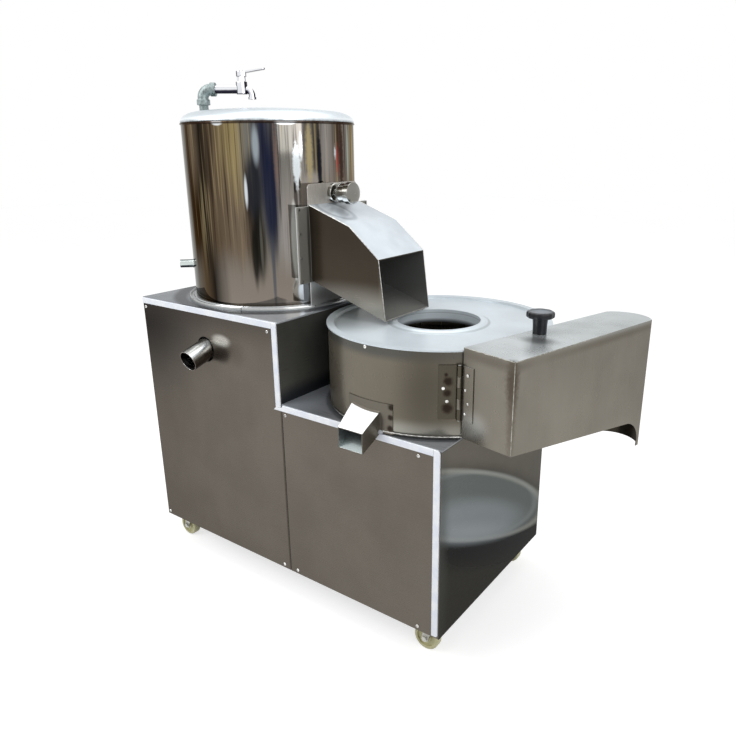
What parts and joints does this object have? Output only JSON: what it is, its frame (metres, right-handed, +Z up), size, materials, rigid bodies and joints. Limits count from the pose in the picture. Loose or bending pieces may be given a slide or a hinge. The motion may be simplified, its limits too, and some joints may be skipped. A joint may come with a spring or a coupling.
{
  "type": "potato peeler machine",
  "caption": "Floor-standing potato peeling and slicing machine: stepped steel cabinet on casters, peeling drum with gated chute, slicing drum with lid and hinged discharge hood.",
  "frame": {"origin": "floor level, middle of the machine's bounding box", "axes": "+X towards the slicing drum, +Y to the back, +Z up"},
  "size_m": [1.0974, 0.5559, 1.1964],
  "materials": {
    "polished_steel": "bright polished stainless sheet",
    "satin_steel": "satin stainless sheet",
    "trim_strip": "white edge strip, soft gloss",
    "bright_fasteners": "bright plated",
    "chrome_fittings": "mirror chrome",
    "galvanised_iron": "mottled zinc coat",
    "abrasive_grit": "coarse bonded grit",
    "frame_paint": "matt grey paint",
    "motor_paint": "blue grey enamel",
    "cast_housing": "machined casting",
    "shaft_steel": "ground steel",
    "belt_rubber": "ribbed rubber",
    "black_knob": "moulded gloss",
    "wheel_nylon": "cream nylon",
    "zinc_plate": "zinc plated pressing",
    "gland_black": "matt moulded",
    "knife_steel": "ground knife steel"
  },
  "bodies": {
    "cabinet": {"cabinet_frame": "frame_paint", "left_side_panel": "satin_steel", "right_side_panel": "satin_steel", "riser_panel": "satin_steel", "front_panel_tall": "satin_steel", "front_panel_low": "satin_steel", "back_panel": "satin_steel", "tall_top_plate": "satin_steel", "low_top_plate": "satin_steel", "edge_strips": "trim_strip", "pan_head_screws": "bright_fasteners", "cable_gland": "gland_black", "drain_pipe": "polished_steel", "caster_plates": "zinc_plate", "peeler_drum": "polished_steel", "drum_base_ring": "polished_steel", "drum_liner": "abrasive_grit", "side_nozzle": "polished_steel", "outlet_frame": "polished_steel", "outlet_chute": "satin_steel", "bearing_housings": "cast_housing", "drive_motors": "motor_paint", "motor_brackets": "frame_paint", "drive_belts": "belt_rubber", "slicer_drum": "polished_steel", "slicer_base_ring": "satin_steel", "slicer_lid": "polished_steel", "water_spout": "satin_steel", "hinge_leaf_drum": "satin_steel", "hinge_pin": "shaft_steel", "hinge_rivets_drum": "bright_fasteners"},
    "cover": {"top_cover": "polished_steel", "water_elbow": "galvanised_iron", "tap_body": "chrome_fittings"},
    "tap_lever": {"tap_lever": "chrome_fittings"},
    "gate": {"gate_plate": "satin_steel", "gate_knob": "chrome_fittings"},
    "peeler_rotor": {"abrasive_disc": "abrasive_grit", "disc_nut": "bright_fasteners", "peeler_shaft": "shaft_steel", "peeler_pulley": "cast_housing"},
    "peeler_motor_rotor": {"peeler_motor_pulley": "cast_housing"},
    "slicer_rotor": {"cutter_disc": "satin_steel", "cutter_blades": "knife_steel", "cutter_nut": "bright_fasteners", "slicer_shaft": "shaft_steel", "slicer_pulley": "cast_housing"},
    "slicer_motor_rotor": {"slicer_motor_pulley": "cast_housing"},
    "hood": {"discharge_hood": "satin_steel", "hinge_leaf_hood": "satin_steel", "hinge_rivets_hood": "bright_fasteners"},
    "hood_knob": {"hood_knob": "black_knob"},
    "caster_fork_front_left": {"caster_fork_front_left": "zinc_plate"},
    "caster_wheel_front_left": {"caster_wheel_front_left": "wheel_nylon"},
    "caster_fork_front_right": {"caster_fork_front_right": "zinc_plate"},
    "caster_wheel_front_right": {"caster_wheel_front_right": "wheel_nylon"},
    "caster_fork_back_left": {"caster_fork_back_left": "zinc_plate"},
    "caster_wheel_back_left": {"caster_wheel_back_left": "wheel_nylon"},
    "caster_fork_back_right": {"caster_fork_back_right": "zinc_plate"},
    "caster_wheel_back_right": {"caster_wheel_back_right": "wheel_nylon"}
  },
  "joints": [
    {"name": "cover_lift", "type": "slide", "parent": "cabinet", "child": "cover", "axis": [0, 0, 1], "range_m": [0, 0.12]},
    {"name": "tap_turn", "type": "hinge", "parent": "cover", "child": "tap_lever", "pos_m": [-0.36712, -0.01031, 1.15], "axis": [0, 0, 1], "range_deg": [0, 90]},
    {"name": "gate_lift", "type": "slide", "parent": "cabinet", "child": "gate", "axis": [0, 0, 1], "range_m": [0, 0.14]},
    {"name": "peeler_spin", "type": "hinge", "parent": "cabinet", "child": "peeler_rotor", "pos_m": [-0.32025, 0.023, 0.6735], "axis": [0, 0, 1], "continuous": true},
    {"name": "peeler_motor_spin", "type": "hinge", "parent": "cabinet", "child": "peeler_motor_rotor", "pos_m": [-0.32025, 0.173, 0.5435], "axis": [0, 0, 1], "continuous": true},
    {"name": "slicer_spin", "type": "hinge", "parent": "cabinet", "child": "slicer_rotor", "pos_m": [0.15975, 0.023, 0.491], "axis": [0, 0, 1], "continuous": true},
    {"name": "slicer_motor_spin", "type": "hinge", "parent": "cabinet", "child": "slicer_motor_rotor", "pos_m": [0.15975, 0.173, 0.361], "axis": [0, 0, 1], "continuous": true},
    {"name": "hood_swing", "type": "hinge", "parent": "cabinet", "child": "hood", "pos_m": [0.31989, -0.16057, 0.5345], "axis": [0, 0, 1], "range_deg": [-110, 0]},
    {"name": "knob_turn", "type": "hinge", "parent": "hood", "child": "hood_knob", "pos_m": [0.39775, 0.009, 0.676], "axis": [0, 0, 1], "continuous": true},
    {"name": "swivel_front_left", "type": "hinge", "parent": "cabinet", "child": "caster_fork_front_left", "pos_m": [-0.507, -0.171, 0.062], "axis": [0, 0, 1], "continuous": true},
    {"name": "roll_front_left", "type": "hinge", "parent": "caster_fork_front_left", "child": "caster_wheel_front_left", "pos_m": [-0.517, -0.171, 0.029], "axis": [0, 1, 0], "continuous": true},
    {"name": "swivel_front_right", "type": "hinge", "parent": "cabinet", "child": "caster_fork_front_right", "pos_m": [0.275, -0.171, 0.062], "axis": [0, 0, 1], "continuous": true},
    {"name": "roll_front_right", "type": "hinge", "parent": "caster_fork_front_right", "child": "caster_wheel_front_right", "pos_m": [0.265, -0.171, 0.029], "axis": [0, 1, 0], "continuous": true},
    {"name": "swivel_back_left", "type": "hinge", "parent": "cabinet", "child": "caster_fork_back_left", "pos_m": [-0.507, 0.217, 0.062], "axis": [0, 0, 1], "continuous": true},
    {"name": "roll_back_left", "type": "hinge", "parent": "caster_fork_back_left", "child": "caster_wheel_back_left", "pos_m": [-0.517, 0.217, 0.029], "axis": [0, 1, 0], "continuous": true},
    {"name": "swivel_back_right", "type": "hinge", "parent": "cabinet", "child": "caster_fork_back_right", "pos_m": [0.275, 0.217, 0.062], "axis": [0, 0, 1], "continuous": true},
    {"name": "roll_back_right", "type": "hinge", "parent": "caster_fork_back_right", "child": "caster_wheel_back_right", "pos_m": [0.265, 0.217, 0.029], "axis": [0, 1, 0], "continuous": true}
  ],
  "couplings": [
    {"joint": "peeler_motor_spin", "follows": "peeler_spin", "ratio": 2.5},
    {"joint": "slicer_motor_spin", "follows": "slicer_spin", "ratio": 2.5}
  ]
}
